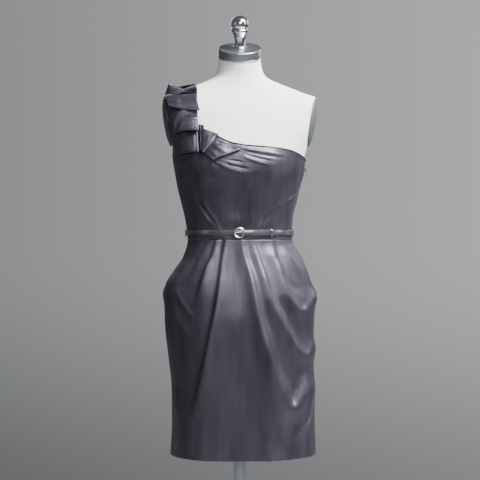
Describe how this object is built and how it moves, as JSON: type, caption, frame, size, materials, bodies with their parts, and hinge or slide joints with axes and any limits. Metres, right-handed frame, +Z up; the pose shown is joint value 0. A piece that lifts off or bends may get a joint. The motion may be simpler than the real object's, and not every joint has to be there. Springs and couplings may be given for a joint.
{
  "type": "two-tone dress on a dress form",
  "caption": "One-shoulder satin cocktail dress with folded ruffle flaps, pleated tulip skirt and narrow belt, standing on a linen dress form with a round base.",
  "frame": {"origin": "centre of the round base's underside, on the pole's axis", "axes": "+Z up along the pole, -Y the way the wearer faces, -X the wearer's right, where the strap is"},
  "size_m": [0.3886, 0.38, 1.5854],
  "materials": {
    "satin": "charcoal satin with a violet-grey sheen",
    "linen": "off-white linen stretched smooth",
    "plate_grey": "smooth grey",
    "brushed_metal": "brushed",
    "silver": "polished silver",
    "painted_iron": "smooth dark paint",
    "patent": "glossy patent",
    "zip_metal": "dark plated"
  },
  "bodies": {
    "dress_and_form": {"form_torso": "linen", "form_arm_plate_left": "plate_grey", "form_arm_plate_right": "plate_grey", "form_neck_cap": "brushed_metal", "form_finial": "silver", "form_pole": "brushed_metal", "form_base": "painted_iron", "bodice_front": "satin", "bodice_back": "satin", "shoulder_strap": "satin", "ruffle_flap_0": "satin", "ruffle_flap_1": "satin", "ruffle_flap_2": "satin", "ruffle_flap_3": "satin", "ruffle_flap_4": "satin", "ruffle_flap_5": "satin", "ruffle_flap_6": "satin", "ruffle_flap_7": "satin", "skirt_front": "satin", "skirt_back": "satin", "pocket_left": "satin", "pocket_right": "satin", "belt_loop_left": "satin", "belt_loop_right": "satin", "belt_strap": "patent", "belt_buckle": "silver", "belt_prong": "silver", "belt_keeper": "silver", "zip_slider": "zip_metal"},
    "zip_pull": {"zip_pull": "zip_metal"}
  },
  "joints": [
    {"name": "zip_pull_swing", "type": "hinge", "parent": "dress_and_form", "child": "zip_pull", "pos_m": [0.16749, 0, 1.2095], "axis": [0, -1, 0], "range_deg": [0, 165]}
  ]
}
